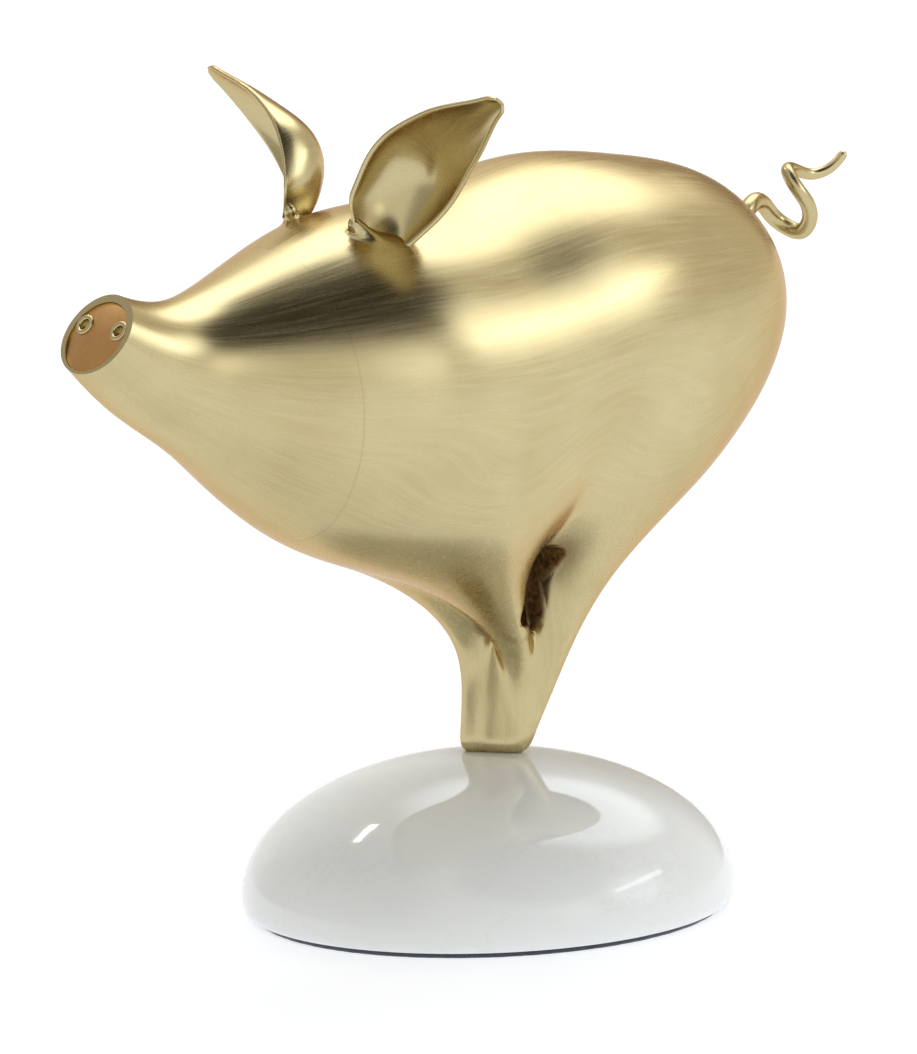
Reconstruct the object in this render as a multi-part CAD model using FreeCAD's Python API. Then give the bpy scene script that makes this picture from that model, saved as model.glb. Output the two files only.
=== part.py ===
import FreeCAD, Part
import math
import os

# A money bank: a hollow brass pig on a polished marble dome. Millimetres, +Z up, snout towards
# -Y, the pig's left side towards +X. The origin is the centre of the underside of the base.
# The pig's own shape is written in its own frame, whose origin is on the dome's axis at the
# dome's top, for a pig of REFERENCE_LENGTH. place() scales it to pig_length and lifts it.

Vec = FreeCAD.Vector
UP = Vec(0, 0, 1)

# ---- base -------------------------------------------------------------------------------
dome_diameter = 180.0
dome_height = 56.0  # marble alone
dome_edge_height = 6.0  # the widest circle above the marble's underside
dome_edge_inset = 4.0  # how far the edge rounds in below the widest circle
felt_thickness = 2.0
felt_inset = 5.0  # felt edge inside the widest circle

# ---- pig --------------------------------------------------------------------------------
REFERENCE_LENGTH = 320.0
pig_length = 320.0  # snout to rump
wall = 3.2  # thickness of the hollow castings
neck_joint_y = -92.0  # upright plane where the face casting is brazed to the two body shells
leg_joint_height = 86.0  # level plane, above the dome's top, where the shells are brazed to the legs
snout_pitch = 38.0  # degrees, how far the end of the snout looks up

# ---- snout disc -------------------------------------------------------------------------
disc_diameter = 28.6
disc_thickness = 1.8
disc_recess = 0.6  # rim of the snout stands this far proud of the disc
nostril_spacing = 19.0
nostril_rise = 4.0  # nostrils above the disc's centre
eyelet_flange_diameter = 8.0
eyelet_barrel_diameter = 6.0
eyelet_hole_diameter = 4.2
eyelet_flange_thickness = 0.8

# ---- ears and tail ----------------------------------------------------------------------
ear_thickness = 2.0
left_ear_tip = (81.5, -51.0, 258.0)
right_ear_tip = (-81.5, -51.0, 250.0)
tail_root_radius = 3.3
tail_tip_radius = 1.7

# ---- coins ------------------------------------------------------------------------------
slot_length = 36.0
slot_width = 5.0
slot_y = -24.0  # middle of the slot, on the spine behind the ears
stopper_diameter = 34.0
stopper_plug_length = 12.0
stopper_flange_diameter = 41.0
stopper_flange_thickness = 3.5
plug_taper = 1.0  # the plug's inner end has a radius this much less
plug_core_diameter = 24.0  # the plug is hollow, so that it gives as it goes in
plug_core_floor = 3.0
grip_diameter = 14.0
grip_height = 3.0
stopper_clearance = 0.05  # radial, plug in its hole
seat_clearance = 0.6  # radial, flange in its spot-face
stopper_tilt = 45.0  # degrees below horizontal, the way the stopper pulls out
stopper_aim = (0.0, 56.0, 140.0)  # point inside the body that the stopper's axis passes through

# ---- fastening --------------------------------------------------------------------------
stud_diameter = 8.0
stud_y = 8.0
stud_engagement = 22.0  # length of thread in the foot
stud_hole_clearance = 0.5  # radial, stud in the marble
stud_beyond_nut = 2.0
counterbore_diameter = 34.0
counterbore_depth = 20.0
washer_diameter = 24.0
washer_thickness = 2.0
spring_washer_diameter = 14.0
spring_washer_thickness = 2.0
spring_washer_gap = 1.5
washer_bore_clearance = 0.2  # radial, washers round the stud
nut_across_flats = 13.0
nut_height = 6.5

stand_height = felt_thickness + dome_height
scale = pig_length / REFERENCE_LENGTH

# ---- lines of the pig -------------------------------------------------------------------
# trunk and head: station y, height of the section's centre, half height, half height / half width
TRUNK = (
    (-190, 191.0, 16.0, 1.20),
    (-165, 172.5, 22.5, 1.20),
    (-135, 158.5, 30.5, 1.16),
    (-100, 148.5, 49.5, 1.10),
    (-60, 144.5, 64.0, 1.03),
    (-15, 144.0, 66.0, 1.00),
    (30, 149.5, 66.5, 1.00),
    (75, 150.5, 59.5, 1.00),
    (110, 153.0, 45.0, 1.00),
    (135, 154.5, 15.0, 1.00),
)
# legs: height, x of the left leg's centre, y of the centre, radius
FRONT_LEG = (
    (-3, 6.2, 5.6, 5.5),
    (17, 6.4, 7.4, 5.4),
    (37, 8.7, 7.1, 6.7),
    (62, 12.6, -8.3, 12.2),
    (92, 20.5, -30.0, 24.0),
    (127, 23.0, -22.5, 26.0),
    (162, 24.0, -9.0, 20.0),
)
HIND_LEG = (
    (-3, 5.2, 8.0, 4.8),
    (17, 7.0, 16.7, 6.8),
    (37, 9.7, 23.7, 8.9),
    (62, 14.0, 32.0, 13.5),
    (92, 19.5, 43.3, 23.2),
    (127, 25.0, 56.0, 30.3),
    (162, 26.0, 63.5, 24.0),
)
# how far the left front leg stands behind the right one at the foot, and how much thinner it is
STAGGER = ((-3, 3.8, 1.2), (17, 3.4, 1.1), (37, 1.9, 0.7), (62, 0.0, 0.0), (92, 0.0, 0.0))
# metal between the four legs: height, y of its centre, radius
CORE = ((-3, 7.0, 8.0), (17, 9.0, 6.5), (37, 11.0, 4.0), (62, 14.0, -9.0), (92, 16.0, -30.0))
WEB_CENTRE = (0.0, 16.0, 102.0)  # underside of the belly between the legs is drawn down to here
WEB_RADIUS = 29.0
LEG_FADE_HEIGHT = 92.0  # above this the legs melt into the trunk
LEG_FADE = 110.0
LEG_BLEND = 50.0  # smoothing where the legs leave the trunk
PAIR_BLEND = 6.6  # smoothing between a front leg and a hind leg
SIDE_BLEND = 7.0  # smoothing between a left leg and a right leg
CORE_BLEND = 5.0
WEB_BLEND = 14.0
LEG_TAPER_FACTOR = 0.85

# opening from side to side between the front and hind legs
OPENING_HEIGHT = (53.0, 73.0)
OPENING_Y = (8.0, 11.5)  # middle of the opening at its lower and upper end
OPENING_HALF_WIDTH = 5.0
OPENING_FILL = (10.0, 2.2)  # radius and sideways stretch of the metal that the opening is cut from

# leaf of the ear: share of its length, half width, half angle of its cup in degrees
EAR_LEAF = (
    (0.00, 4.0, 50.0),
    (0.04, 9.6, 60.0),
    (0.12, 13.4, 72.0),
    (0.24, 15.5, 76.0),
    (0.40, 15.7, 70.0),
    (0.55, 13.3, 56.0),
    (0.70, 10.3, 42.0),
    (0.84, 6.2, 32.0),
    (0.94, 3.1, 27.0),
    (1.00, 1.6, 24.0),
)
EAR_BASE = (22.6, -64.8, 198.5)
EAR_FACING = (0.49, -0.83, -0.28)
EAR_EDGE_BOW = 3.8  # the leaf bows forwards by this
EAR_BACK_BOW = 10.0  # and backwards by this, both in mid length
EAR_BOW_SKEW = 0.75  # below 1 it bows backwards most in its lower half

TAIL_PATH = (
    (0.0, 122.0, 168.5),
    (0.0, 130.0, 176.5),
    (-1.5, 136.0, 180.5),
    (-4.5, 142.5, 182.0),
    (-7.5, 149.5, 178.5),
    (-8.5, 155.0, 173.0),
    (-5.5, 158.5, 169.5),
    (-1.0, 160.0, 168.5),
    (4.5, 160.0, 173.0),
    (7.5, 156.5, 181.0),
    (6.0, 153.0, 187.0),
    (2.0, 153.0, 191.5),
    (-3.0, 158.0, 192.0),
    (-6.0, 165.0, 189.5),
    (-6.0, 171.0, 187.5),
    (-4.5, 175.5, 188.0),
    (-3.0, 180.0, 190.5),
    (-2.0, 184.0, 194.5),
)

# ---- how the skin is laid out -------------------------------------------------------------
SNOUT_CENTRE = (0.0, -175.0, 181.0)  # middle of the snout's end
CHEST_PIVOT = (-75.0, 40.0)  # y and height of the line that the body's section planes turn about
CENTRE_RADIUS = 88.0  # from that line to the middle of the body's sections
HEAD_SECTIONS = 14
BODY_SECTIONS = 36
LEG_SECTIONS = 7
FOOT_BOTTOM = -3.0  # inside the dome, which cuts the foot to fit
RING_POINTS = 48
SEAT_RAYS = 24  # directions in which the stopper's seat is measured
SKIN_REACH = 170.0  # farther than any skin is from the middle of its section
SIDE_REACH = 80.0  # farther than the legs reach sideways
HOLLOW_STATIONS = (
    -146.0, -138.0, -128.0, -114.0, -98.0, -80.0, -60.0, -38.0, -15.0,
    8.0, 30.0, 52.0, 72.0, 90.0, 105.0, 117.0, 126.0, 131.5,
)  # fmt: skip
EAR_RINGS = 20
EAR_HALF_POINTS = 15
TAIL_RINGS = 110
TAIL_POINTS = 12
TAIL_ROUNDING = 0.98  # share of the tail's length where its tip begins to round
TAIL_BLUNTNESS = 0.04  # the tip would come to a point this share of the length past there


class Curve:
    """Natural cubic through (position, value) pairs, straight beyond both ends."""

    def __init__(self, at, values):
        self.at = list(at)
        self.values = list(values)
        n = len(self.at)
        steps = [self.at[i + 1] - self.at[i] for i in range(n - 1)]
        slopes = [(self.values[i + 1] - self.values[i]) / steps[i] for i in range(n - 1)]
        upper = [0.0] * n
        right = [0.0] * n
        for i in range(1, n - 1):
            pivot = 2 * (steps[i - 1] + steps[i]) - steps[i - 1] * upper[i - 1]
            upper[i] = steps[i] / pivot
            right[i] = (6 * (slopes[i] - slopes[i - 1]) - steps[i - 1] * right[i - 1]) / pivot
        self.bend = [0.0] * n
        for i in range(n - 2, 0, -1):
            self.bend[i] = right[i] - upper[i] * self.bend[i + 1]
        self.steps = steps
        self.first_slope = slopes[0] - steps[0] * self.bend[1] / 6
        self.last_slope = slopes[-1] + steps[-1] * self.bend[-2] / 6

    def value_and_slope(self, t):
        if t <= self.at[0]:
            return self.values[0] + self.first_slope * (t - self.at[0]), self.first_slope
        if t >= self.at[-1]:
            return self.values[-1] + self.last_slope * (t - self.at[-1]), self.last_slope
        i = 0
        while t > self.at[i + 1]:
            i += 1
        h = self.steps[i]
        a = (self.at[i + 1] - t) / h
        b = 1 - a
        v0, v1 = self.values[i], self.values[i + 1]
        m0, m1 = self.bend[i], self.bend[i + 1]
        value = a * v0 + b * v1 + ((a**3 - a) * m0 + (b**3 - b) * m1) * h * h / 6
        slope = (v1 - v0) / h + ((1 - 3 * a * a) * m0 + (3 * b * b - 1) * m1) * h / 6
        return value, slope

    def __call__(self, t):
        return self.value_and_slope(t)[0]


def curves(table, count):
    """One Curve for each of the first `count` columns after the table's first."""
    at = [row[0] for row in table]
    return [Curve(at, [row[i + 1] for row in table]) for i in range(count)]


trunk_centre, trunk_half, trunk_ratio = curves(TRUNK, 3)
trunk_square = Curve([row[0] for row in TRUNK], [row[2] ** 2 for row in TRUNK])
front_x, front_y, front_r = curves(FRONT_LEG, 3)
hind_x, hind_y, hind_r = curves(HIND_LEG, 3)
stagger, thinning = curves(STAGGER, 2)
core_y, core_r = curves(CORE, 2)


def blend(a, b, width):
    """The lesser of two fields, with the crease between them smoothed over `width`."""
    h = max(width - abs(a - b), 0.0) / width
    return min(a, b) - h * h * h * width / 6


def trunk_field(x, y, z):
    centre, centre_slope = trunk_centre.value_and_slope(y)
    ratio, ratio_slope = trunk_ratio.value_and_slope(y)
    square, square_slope = trunk_square.value_and_slope(y)
    rise = z - centre
    value = (ratio * x) ** 2 + rise * rise - square
    gx = 2 * ratio * ratio * x
    gy = -square_slope - 2 * rise * centre_slope + 2 * ratio * ratio_slope * x * x
    return value / max(math.sqrt(gx * gx + gy * gy + 4 * rise * rise), 25.0)


def pole_field(x, y, cx, cy, radius):
    return (math.hypot(x - cx, y - cy) - radius) * LEG_TAPER_FACTOR


def legs_field(x, y, z):
    fx, fy, fr = front_x(z), front_y(z), front_r(z)
    hx, hy, hr = hind_x(z), hind_y(z), hind_r(z)
    back, thin = (stagger(z), thinning(z)) if z < STAGGER[-1][0] else (0.0, 0.0)
    front = blend(
        pole_field(x, y, fx, fy + back, fr - thin),
        pole_field(x, y, -fx, fy - back, fr + thin),
        SIDE_BLEND,
    )
    hind = blend(pole_field(x, y, hx, hy, hr), pole_field(x, y, -hx, hy, hr), SIDE_BLEND)
    legs = blend(front, hind, PAIR_BLEND)
    legs += max(z - LEG_FADE_HEIGHT, 0.0) ** 2 / LEG_FADE
    return blend(legs, pole_field(x, y, 0, core_y(z), core_r(z)), CORE_BLEND)


def opening_middle(z):
    low, high = OPENING_HEIGHT
    share = min(max((z - low) / (high - low), 0.0), 1.0)
    return OPENING_Y[0] + share * (OPENING_Y[1] - OPENING_Y[0])


def skin_field(x, y, z):
    """About the distance from the pig's skin, negative inside, with the side opening filled."""
    body = blend(trunk_field(x, y, z), legs_field(x, y, z), LEG_BLEND)
    wx, wy, wz = WEB_CENTRE
    web = math.sqrt((x - wx) ** 2 + (y - wy) ** 2 + (z - wz) ** 2) - WEB_RADIUS
    body = blend(body, web, WEB_BLEND)
    radius, stretch = OPENING_FILL
    low, high = OPENING_HEIGHT
    beyond = max(low - z, z - high, 0.0)
    fill = math.hypot(x / stretch, y - opening_middle(z), beyond) - radius
    return blend(body, fill, PAIR_BLEND)


def place(x, y, z):
    """From the pig's own frame to the part's frame."""
    return Vec(x * scale, y * scale, z * scale + stand_height)


def skin_distance(start, direction, reach=SKIN_REACH, step=3.0):
    """How far the skin is from `start` along `direction`, found from the outside inwards."""

    def field_at(t):
        return skin_field(
            start[0] + direction[0] * t, start[1] + direction[1] * t, start[2] + direction[2] * t
        )

    outer = reach
    while outer > step and field_at(outer - step) > 0:
        outer -= step
    inner = outer - step
    for _ in range(16):
        middle = (inner + outer) / 2
        if field_at(middle) > 0:
            outer = middle
        else:
            inner = middle
    return (inner + outer) / 2


def skinned_solid(rings):
    """A closed solid: a smooth skin over closed rings of poles, with a flat cap on each end."""
    around = len(rings[0])
    along = len(rings)
    surface = Part.BSplineSurface()
    surface.buildFromPolesMultsKnots(
        rings,
        [4] + [1] * (along - 4) + [4],
        [1] * (around + 1),
        [float(i) for i in range(along - 2)],
        [float(i) for i in range(around + 1)],
        False,
        True,
        3,
        3,
    )
    side = surface.toShape()
    caps = [
        Part.Face(Part.Wire([edge]))
        for edge in side.Edges
        if edge.isClosed() and not edge.isSeam(side)
    ]
    shell = Part.Shell([side] + caps)
    shell.sewShape()
    solid = Part.Solid(shell)
    if solid.Volume < 0:
        solid.reverse()
    return solid


def section_frames():
    """Section planes from snout to foot, each as a centre and an in-plane direction.

    The planes fan about a line above the head, from the snout's end to upright, and then
    about a line under the chest, from upright to level, and last come level ones.
    """
    pitch = math.radians(snout_pitch)
    rise = (math.sin(pitch), math.cos(pitch))
    snout_y, snout_z = SNOUT_CENTRE[1], SNOUT_CENTRE[2]
    pivot_y, pivot_z = CHEST_PIVOT
    far = (pivot_y - snout_y) / rise[0]
    hinge_z = snout_z + far * rise[1]
    frames = []
    for i in range(HEAD_SECTIONS):
        lean = pitch * (1 - i / HEAD_SECTIONS)
        direction = (math.sin(lean), math.cos(lean))
        middle_y = snout_y + (pivot_y - snout_y) * i / HEAD_SECTIONS
        reach = (pivot_y - middle_y) / direction[0] if direction[0] > 1e-6 else far
        middle_z = hinge_z - reach * direction[1]
        frames.append(((0.0, middle_y, middle_z), direction))
    for i in range(BODY_SECTIONS):
        angle = math.pi / 2 * (1 - i / BODY_SECTIONS)
        direction = (math.cos(angle), math.sin(angle))
        y = pivot_y + CENTRE_RADIUS * direction[0]
        z = pivot_z + CENTRE_RADIUS * direction[1]
        frames.append(((0.0, y, z), direction))
    for i in range(LEG_SECTIONS + 1):
        z = pivot_z + (FOOT_BOTTOM - pivot_z) * i / LEG_SECTIONS
        share = i / LEG_SECTIONS
        y = (pivot_y + CENTRE_RADIUS) * (1 - share) + stud_y * share
        frames.append(((0.0, y, z), (1.0, 0.0)))
    return frames


def ring_on_skin(centre, rise):
    ring = []
    for i in range(RING_POINTS):
        angle = 2 * math.pi * i / RING_POINTS
        across = math.cos(angle)
        along = math.sin(angle)
        direction = (across, along * rise[0], along * rise[1])
        t = skin_distance(centre, direction)
        ring.append(place(*(centre[j] + direction[j] * t for j in range(3))))
    return ring


def outer_solid():
    return skinned_solid([ring_on_skin(centre, rise) for centre, rise in section_frames()])


def hollow_solid():
    """The space inside: the trunk's oval sections drawn in by the wall's thickness."""
    inner_wall = wall / scale
    rings = []
    for y in HOLLOW_STATIONS:
        half = math.sqrt(trunk_square(y))
        slope = trunk_square.value_and_slope(y)[1] / (2 * half)
        length = math.hypot(1, slope)
        inner_y = y + inner_wall * slope / length
        inner_half = half - inner_wall / length
        inner_width = half / trunk_ratio(y) - inner_wall / length
        ring = []
        for i in range(RING_POINTS):
            angle = 2 * math.pi * i / RING_POINTS
            x = inner_width * math.cos(angle)
            z = trunk_centre(y) + inner_half * math.sin(angle)
            ring.append(place(x, inner_y, z))
        rings.append(ring)
    return skinned_solid(rings)


def half_space(place_on, axis, keep_above):
    """A big box on one side of the plane where coordinate `axis`, 0 to 2, is `place_on`."""
    size = 4 * pig_length
    corner = [-size / 2, -size / 2, -size / 2]
    corner[axis] = place_on if keep_above else place_on - size
    return Part.makeBox(size, size, size, Vec(*corner))


def rod(start, direction, radius, length):
    return Part.makeCylinder(radius, length, start, direction)


def snout_axis():
    pitch = math.radians(snout_pitch)
    return Vec(0, -math.cos(pitch), math.sin(pitch))


def snout_point(out, x=0.0, rise=0.0):
    """A point `out` of the snout's end plane, `x` sideways and `rise` up the disc."""
    pitch = math.radians(snout_pitch)
    up = Vec(0, math.sin(pitch), math.cos(pitch))
    return place(*SNOUT_CENTRE) + snout_axis() * out + Vec(x, 0, 0) + up * rise


def disc_pocket():
    depth = disc_recess + disc_thickness
    return rod(snout_point(-depth), snout_axis(), disc_diameter / 2, 2 * depth)


def nostril_centre(side, out):
    return snout_point(out, side * nostril_spacing / 2, nostril_rise)


def snout_disc():
    back = -disc_recess - disc_thickness
    disc = rod(snout_point(back), snout_axis(), disc_diameter / 2, disc_thickness)
    for side in (-1, 1):
        start = nostril_centre(side, back)
        disc = disc.cut(rod(start, snout_axis(), eyelet_barrel_diameter / 2, disc_thickness))
    return disc


def nostril_eyelet(side):
    face = -disc_recess
    axis = snout_axis()
    back = nostril_centre(side, face - disc_thickness)
    front = nostril_centre(side, face)
    barrel = rod(back, axis, eyelet_barrel_diameter / 2, disc_thickness)
    flange = rod(front, axis, eyelet_flange_diameter / 2, eyelet_flange_thickness)
    length = disc_thickness + eyelet_flange_thickness
    eyelet = barrel.fuse(flange).cut(rod(back, axis, eyelet_hole_diameter / 2, length))
    eyelet = eyelet.removeSplitter()
    rim = [
        edge
        for edge in eyelet.Edges
        if isinstance(edge.Curve, Part.Circle)
        and abs(edge.Curve.Radius - eyelet_flange_diameter / 2) < 1e-6
        and (edge.Curve.Center - nostril_centre(side, face + eyelet_flange_thickness)).Length < 1e-6
    ]
    return eyelet.makeFillet(eyelet_flange_thickness / 2, rim)


def unit(vector):
    return vector * (1.0 / vector.Length)


def ear(side, tip):
    """A leaf-shaped cup, its open face forwards and outwards, with its lower end in the head."""
    base = Vec(side * EAR_BASE[0], EAR_BASE[1], EAR_BASE[2])
    along = Vec(*tip) - base
    length = along.Length
    along = unit(along)
    facing = Vec(side * EAR_FACING[0], EAR_FACING[1], EAR_FACING[2])
    facing = unit(facing - along * facing.dot(along))
    across = along.cross(facing) * side
    shares = [row[0] for row in EAR_LEAF]
    half_width = Curve(shares, [row[1] for row in EAR_LEAF])
    cup_angle = Curve(shares, [row[2] for row in EAR_LEAF])
    thickness = ear_thickness / scale
    rings = []
    for i in range(EAR_RINGS + 1):
        share = i / EAR_RINGS
        middle = base + along * (share * length)
        middle = middle - across * (EAR_EDGE_BOW * math.sin(math.pi * share))
        middle = middle - facing * (EAR_BACK_BOW * math.sin(math.pi * share**EAR_BOW_SKEW))
        angle = math.radians(cup_angle(share))
        radius = half_width(share) / math.sin(angle)
        ring = []
        for k in range(2 * EAR_HALF_POINTS):
            outside = k < EAR_HALF_POINTS
            step = k if outside else 2 * EAR_HALF_POINTS - 1 - k
            turn = angle * (2 * step / (EAR_HALF_POINTS - 1) - 1)
            r = radius + (thickness if outside else 0.0)
            point = middle + across * (r * math.sin(turn))
            point = point - facing * (r * math.cos(turn) - radius * math.cos(angle))
            ring.append(place(point.x, point.y, point.z))
        rings.append(ring)
    return skinned_solid(rings)


def tail():
    points = [Vec(*p) for p in TAIL_PATH]
    along = [0.0]
    for a, b in zip(points, points[1:]):
        along.append(along[-1] + (b - a).Length)
    path = [Curve(along, [p[i] for p in points]) for i in range(3)]
    rings = []
    side = Vec(1, 0, 0)
    for i in range(TAIL_RINGS + 1):
        share = i / TAIL_RINGS
        t = share * along[-1]
        centre = Vec(path[0](t), path[1](t), path[2](t))
        heading = unit(Vec(*(curve.value_and_slope(t)[1] for curve in path)))
        side = unit(side - heading * side.dot(heading))
        other = heading.cross(side)
        radius = tail_root_radius + (tail_tip_radius - tail_root_radius) * share**2
        radius *= math.sqrt(1 - (max(share - TAIL_ROUNDING, 0) / TAIL_BLUNTNESS) ** 2)
        ring = []
        for k in range(TAIL_POINTS):
            angle = 2 * math.pi * k / TAIL_POINTS
            point = centre + side * (radius * math.cos(angle)) + other * (radius * math.sin(angle))
            ring.append(place(point.x, point.y, point.z))
        rings.append(ring)
    return skinned_solid(rings)


def side_opening():
    """A slot with round ends from side to side, leaning back towards its top."""
    low, high = OPENING_HEIGHT
    reach = SIDE_REACH
    axis = Vec(1, 0, 0)
    ends = []
    for z in (low, high):
        centre = place(-reach, opening_middle(z), z)
        ends.append(rod(centre, axis, OPENING_HALF_WIDTH * scale, 2 * reach * scale))
    corners = []
    for z, sign in ((low, -1), (low, 1), (high, 1), (high, -1)):
        corners.append(place(-reach, opening_middle(z) + sign * OPENING_HALF_WIDTH, z))
    flat = Part.Face(Part.makePolygon(corners + corners[:1]))
    middle = flat.extrude(axis * (2 * reach * scale))
    return ends[0].fuse([ends[1], middle]).removeSplitter()


def coin_slot():
    centre_height = trunk_centre(slot_y)
    top = skin_distance((0.0, slot_y, centre_height), (0.0, 0.0, 1.0))
    depth = 6 * wall
    corner = place(0.0, slot_y, centre_height + top) - Vec(slot_width / 2, slot_length / 2, depth)
    return Part.makeBox(slot_width, slot_length, 2 * depth, corner)


def stopper_direction():
    tilt = math.radians(stopper_tilt)
    return Vec(0, math.cos(tilt), -math.sin(tilt))


def stopper_seat():
    """Centre of the flat seat, deep enough that the whole flange beds on metal."""
    direction = stopper_direction()
    across = direction.cross(Vec(1, 0, 0))
    radius = (stopper_flange_diameter / 2 + seat_clearance) / scale
    distances = []
    for i in range(SEAT_RAYS):
        angle = 2 * math.pi * i / SEAT_RAYS
        offset = Vec(1, 0, 0) * (radius * math.cos(angle)) + across * (radius * math.sin(angle))
        distances.append(skin_distance(tuple(Vec(*stopper_aim) + offset), tuple(direction)))
    aim = place(*stopper_aim)
    return aim + direction * (min(distances) * scale)


def stopper_cuts():
    seat = stopper_seat()
    direction = stopper_direction()
    face = rod(seat, direction, stopper_flange_diameter / 2 + seat_clearance, pig_length / 8)
    reach = (seat - place(*stopper_aim)).Length
    bore = rod(seat - direction * reach, direction, stopper_diameter / 2 + stopper_clearance, reach + 1)
    return face.fuse(bore)


def coin_stopper():
    """A rubber plug with a flange that beds in the spot-face and a domed grip on the outside."""
    seat = stopper_seat()
    direction = stopper_direction()
    inner_end = seat - direction * stopper_plug_length
    outer_radius = stopper_diameter / 2
    inner_radius = outer_radius - plug_taper
    plug = Part.makeCone(inner_radius, outer_radius, stopper_plug_length, inner_end, direction)
    flange = rod(seat, direction, stopper_flange_diameter / 2, stopper_flange_thickness)
    grip_start = seat + direction * stopper_flange_thickness
    grip = rod(grip_start, direction, grip_diameter / 2, grip_height)
    core_depth = stopper_plug_length - plug_core_floor
    core = rod(inner_end, direction, plug_core_diameter / 2, core_depth)
    return plug.fuse([flange, grip]).cut(core).removeSplitter()


def marble_dome():
    radius = dome_diameter / 2
    edge = felt_thickness + dome_edge_height
    top = felt_thickness + dome_height
    inner = radius - dome_edge_inset
    upper = Part.ArcOfEllipse(Part.Ellipse(Vec(0, edge, 0), radius, top - edge), 0, math.pi / 2)
    lower = Part.BezierCurve()
    lower.setPoles([Vec(inner, felt_thickness, 0), Vec(radius, felt_thickness, 0), Vec(radius, edge, 0)])
    bottom = Part.LineSegment(Vec(0, felt_thickness, 0), Vec(inner, felt_thickness, 0))
    axis = Part.LineSegment(upper.EndPoint, Vec(0, felt_thickness, 0))
    wire = Part.Wire([bottom.toShape(), lower.toShape(), upper.toShape(), axis.toShape()])
    face = Part.Face(wire)
    face.rotate(Vec(0, 0, 0), Vec(1, 0, 0), 90)
    return face.revolve(Vec(0, 0, 0), UP, 360)


def stud_place(z):
    return Vec(0, stud_y * scale, z)


def washer_seat():
    return felt_thickness + counterbore_depth


def nut_top():
    return washer_seat() - washer_thickness - spring_washer_thickness


def drilled_dome(dome):
    bore = rod(stud_place(0), UP, stud_diameter / 2 + stud_hole_clearance, 2 * stand_height)
    counterbore = rod(stud_place(0), UP, counterbore_diameter / 2, washer_seat())
    return dome.cut(bore).cut(counterbore)


def mounting_stud():
    bottom = nut_top() - nut_height - stud_beyond_nut
    return rod(stud_place(bottom), UP, stud_diameter / 2, stand_height + stud_engagement - bottom)


def ring_washer(diameter, thickness, top):
    start = stud_place(top - thickness)
    bore = rod(start, UP, stud_diameter / 2 + washer_bore_clearance, thickness)
    return rod(start, UP, diameter / 2, thickness).cut(bore)


def flat_washer():
    return ring_washer(washer_diameter, washer_thickness, washer_seat())


def spring_washer():
    top = washer_seat() - washer_thickness
    ring = ring_washer(spring_washer_diameter, spring_washer_thickness, top)
    corner = stud_place(top - spring_washer_thickness) + Vec(-spring_washer_gap / 2, 0, 0)
    gap = Part.makeBox(spring_washer_gap, spring_washer_diameter, spring_washer_thickness, corner)
    return ring.cut(gap)


def hex_nut():
    bottom = nut_top() - nut_height
    corners = []
    for i in range(6):
        angle = math.radians(60 * i)
        reach = nut_across_flats / math.sqrt(3)
        corners.append(stud_place(bottom) + Vec(reach * math.cos(angle), reach * math.sin(angle), 0))
    blank = Part.Face(Part.makePolygon(corners + corners[:1])).extrude(UP * nut_height)
    return blank.cut(rod(stud_place(bottom), UP, stud_diameter / 2, nut_height))


def felt_pad():
    return Part.makeCylinder(dome_diameter / 2 - felt_inset, felt_thickness)


def castings():
    """The hollow pig: two shells, the legs with the belly under them, and the face."""
    dome = marble_dome()
    outer = outer_solid()
    pig = outer.cut(hollow_solid())
    for tool in (coin_slot(), stopper_cuts(), side_opening(), dome, mounting_stud(), disc_pocket()):
        pig = pig.cut(tool)
    neck = neck_joint_y * scale
    leg_joint = place(0, 0, leg_joint_height).z
    face = pig.common(half_space(neck, 1, False))
    body = pig.common(half_space(neck, 1, True))
    shells = body.common(half_space(leg_joint, 2, True))
    return {
        "left_body_shell": shells.common(half_space(0, 0, True)),
        "right_body_shell": shells.common(half_space(0, 0, False)),
        "leg_casting": body.common(half_space(leg_joint, 2, False)),
        "face_casting": face,
        "left_ear": ear(1, left_ear_tip).cut(outer),
        "right_ear": ear(-1, right_ear_tip).cut(outer),
        "tail": tail().cut(outer),
    }


def build():
    parts = castings()
    parts["marble_dome"] = drilled_dome(marble_dome())
    parts["felt_pad"] = felt_pad()
    parts["snout_disc"] = snout_disc()
    parts["left_nostril_eyelet"] = nostril_eyelet(1)
    parts["right_nostril_eyelet"] = nostril_eyelet(-1)
    parts["mounting_stud"] = mounting_stud()
    parts["flat_washer"] = flat_washer()
    parts["spring_washer"] = spring_washer()
    parts["hex_nut"] = hex_nut()
    parts["coin_stopper"] = coin_stopper()
    os.makedirs("parts", exist_ok=True)
    for name, shape in parts.items():
        print(f"{name}: {len(shape.Solids)} solid, valid {shape.isValid()}, volume {shape.Volume:.0f}")
        if len(shape.Solids) == 1:
            shape = shape.Solids[0]
        shape.exportStep(f"parts/{name}.step")


build()
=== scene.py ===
import math

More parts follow.
